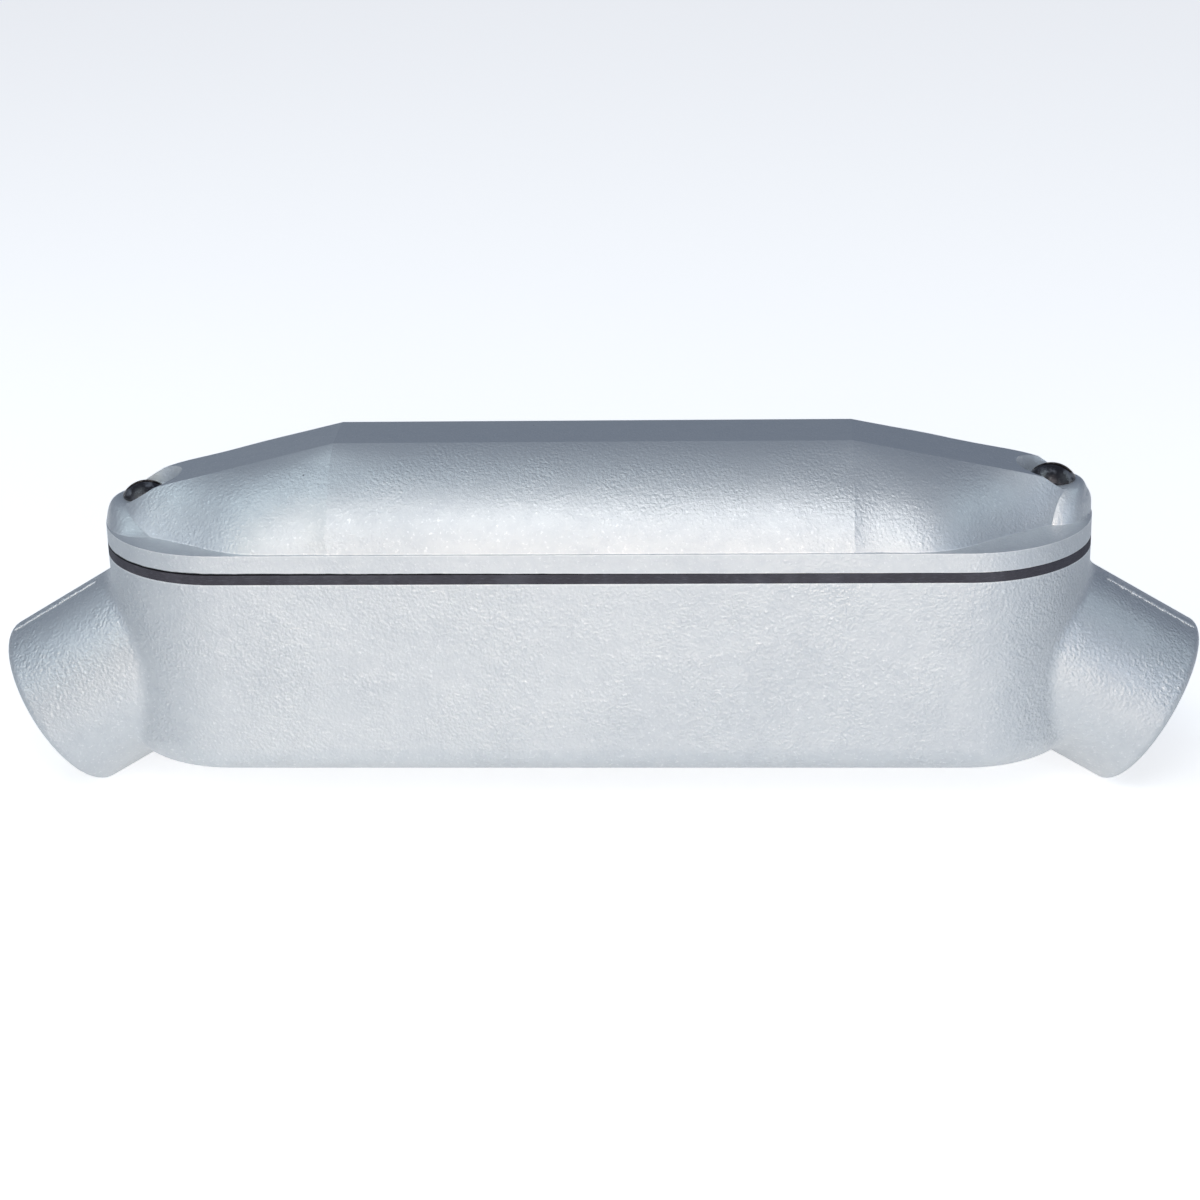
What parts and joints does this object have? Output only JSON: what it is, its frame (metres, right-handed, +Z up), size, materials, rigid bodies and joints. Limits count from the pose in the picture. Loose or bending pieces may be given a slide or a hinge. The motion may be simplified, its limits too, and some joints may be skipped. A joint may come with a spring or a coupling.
{
  "type": "conduit body",
  "caption": "Long round-ended cast conduit body with inclined threaded hubs at both ends, a gasket and a hollow dome cover held by slotted screws.",
  "frame": {"origin": "middle of the part's length and width, at the height of the lowest point of the two hubs' rims", "axes": "+X along the length towards the right hub, +Y across the width, +Z up through the cover"},
  "size_m": [0.3918, 0.082, 0.119],
  "materials": {
    "body_paint": "sand cast, aluminium paint, fine orange-peel grain",
    "cover_paint": "sand cast, aluminium paint, fine orange-peel grain",
    "gasket_rubber": "matt, slightly fibrous cut edge",
    "screw_steel": "blackened, polished by handling"
  },
  "bodies": {
    "root": {"body_casting": "body_paint", "cover_casting": "cover_paint", "gasket": "gasket_rubber", "cover_screw_left": "screw_steel", "cover_screw_right": "screw_steel"}
  },
  "joints": []
}
